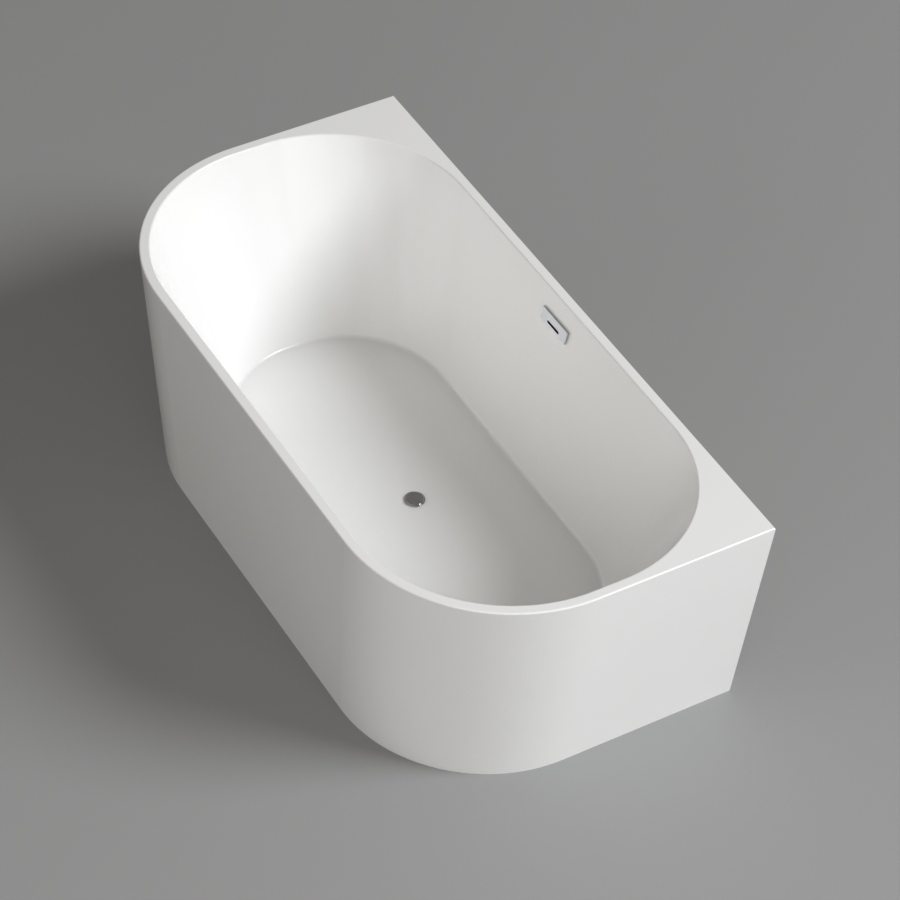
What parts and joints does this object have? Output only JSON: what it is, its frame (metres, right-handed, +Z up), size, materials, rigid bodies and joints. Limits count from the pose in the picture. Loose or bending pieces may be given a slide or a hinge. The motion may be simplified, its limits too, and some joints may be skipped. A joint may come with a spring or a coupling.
{
  "type": "back-to-wall bathtub",
  "caption": "White back-to-wall bathtub with one straight side for the wall, rounded front corners, a push plug, a slim overflow and adjustable feet.",
  "frame": {"origin": "on the floor, under the middle of the bath's outer box", "axes": "+X along the bath, +Y towards the wall behind it, +Z up"},
  "size_m": [1.699, 0.8498, 0.6],
  "materials": {
    "acrylic": "smooth white sanitary acrylic, soft gloss",
    "laminate": "pale glass-fibre laminate, strands showing",
    "board": "raw chipboard",
    "zinc_steel": "zinc-plated sheet steel, dull",
    "bolt_steel": "bright zinc-plated threads and heads",
    "chrome": "polished chrome plate",
    "brass": "turned brass",
    "white_plastic": "moulded white plastic, fine satin",
    "black_plastic": "moulded black plastic, fine grain",
    "rubber": "black rubber, dull"
  },
  "bodies": {
    "bath": {"basin_shell": "acrylic", "outer_skirt": "acrylic", "basin_backing": "laminate", "skirt_backing": "laminate", "base_board": "board", "deck_board_left": "board", "deck_board_right": "board", "skirt_blocks": "board", "cradle_bar_left": "zinc_steel", "cradle_bar_right": "zinc_steel", "end_strut_left": "zinc_steel", "end_strut_right": "zinc_steel", "skirt_brackets": "zinc_steel", "centre_foot_plate": "zinc_steel", "wall_bracket_left": "zinc_steel", "wall_bracket_right": "zinc_steel", "board_screws": "bolt_steel", "block_screws": "bolt_steel", "deck_board_screws": "bolt_steel", "foot_weld_nuts": "bolt_steel", "foot_lock_nuts": "bolt_steel", "plug_spring": "bolt_steel", "waste_flange": "chrome", "overflow_plate": "chrome", "click_cartridge": "brass", "waste_body": "white_plastic", "trap_cup": "white_plastic", "trap_ring_nut": "white_plastic", "outlet_nut": "white_plastic", "outlet_pipe": "white_plastic", "overflow_box": "white_plastic", "overflow_pipe": "white_plastic", "overflow_upper_nut": "white_plastic", "overflow_lower_nut": "white_plastic", "cradle_end_caps": "black_plastic", "overflow_throat": "black_plastic", "waste_top_seal": "rubber", "waste_lower_seal": "rubber", "trap_seal": "rubber", "outlet_seal": "rubber", "overflow_gasket": "rubber", "overflow_pipe_seals": "rubber"},
    "plug": {"plug_cap": "chrome", "plug_seal": "rubber", "plug_plunger": "brass"},
    "foot_1_pad": {"foot_pad_1": "black_plastic"},
    "foot_1_rod": {"foot_rod_1": "bolt_steel"},
    "foot_2_pad": {"foot_pad_2": "black_plastic"},
    "foot_2_rod": {"foot_rod_2": "bolt_steel"},
    "foot_3_pad": {"foot_pad_3": "black_plastic"},
    "foot_3_rod": {"foot_rod_3": "bolt_steel"},
    "foot_4_pad": {"foot_pad_4": "black_plastic"},
    "foot_4_rod": {"foot_rod_4": "bolt_steel"},
    "foot_5_pad": {"foot_pad_5": "black_plastic"},
    "foot_5_rod": {"foot_rod_5": "bolt_steel"}
  },
  "joints": [
    {"name": "plug_lift", "type": "slide", "parent": "bath", "child": "plug", "axis": [0, 0, 1], "range_m": [0, 0.009], "deforming": ["plug_spring"]},
    {"name": "foot_1_lift", "type": "slide", "parent": "bath", "child": "foot_1_pad", "axis": [0, 0, 1], "range_m": [-0.015, 0.002]},
    {"name": "foot_1_turn", "type": "hinge", "parent": "foot_1_pad", "child": "foot_1_rod", "pos_m": [-0.42, -0.213, 0.05], "axis": [0, 0, 1], "continuous": true},
    {"name": "foot_2_lift", "type": "slide", "parent": "bath", "child": "foot_2_pad", "axis": [0, 0, 1], "range_m": [-0.015, 0.002]},
    {"name": "foot_2_turn", "type": "hinge", "parent": "foot_2_pad", "child": "foot_2_rod", "pos_m": [-0.42, 0.247, 0.05], "axis": [0, 0, 1], "continuous": true},
    {"name": "foot_3_lift", "type": "slide", "parent": "bath", "child": "foot_3_pad", "axis": [0, 0, 1], "range_m": [-0.015, 0.002]},
    {"name": "foot_3_turn", "type": "hinge", "parent": "foot_3_pad", "child": "foot_3_rod", "pos_m": [0.42, -0.213, 0.05], "axis": [0, 0, 1], "continuous": true},
    {"name": "foot_4_lift", "type": "slide", "parent": "bath", "child": "foot_4_pad", "axis": [0, 0, 1], "range_m": [-0.015, 0.002]},
    {"name": "foot_4_turn", "type": "hinge", "parent": "foot_4_pad", "child": "foot_4_rod", "pos_m": [0.42, 0.247, 0.05], "axis": [0, 0, 1], "continuous": true},
    {"name": "foot_5_lift", "type": "slide", "parent": "bath", "child": "foot_5_pad", "axis": [0, 0, 1], "range_m": [-0.015, 0.002]},
    {"name": "foot_5_turn", "type": "hinge", "parent": "foot_5_pad", "child": "foot_5_rod", "pos_m": [-0.19, 0.017, 0.05], "axis": [0, 0, 1], "continuous": true}
  ],
  "couplings": [
    {"joint": "foot_1_turn", "follows": "foot_1_lift", "rad_per_m": 3590.4},
    {"joint": "foot_2_turn", "follows": "foot_2_lift", "rad_per_m": 3590.4},
    {"joint": "foot_3_turn", "follows": "foot_3_lift", "rad_per_m": 3590.4},
    {"joint": "foot_4_turn", "follows": "foot_4_lift", "rad_per_m": 3590.4},
    {"joint": "foot_5_turn", "follows": "foot_5_lift", "rad_per_m": 3590.4}
  ]
}
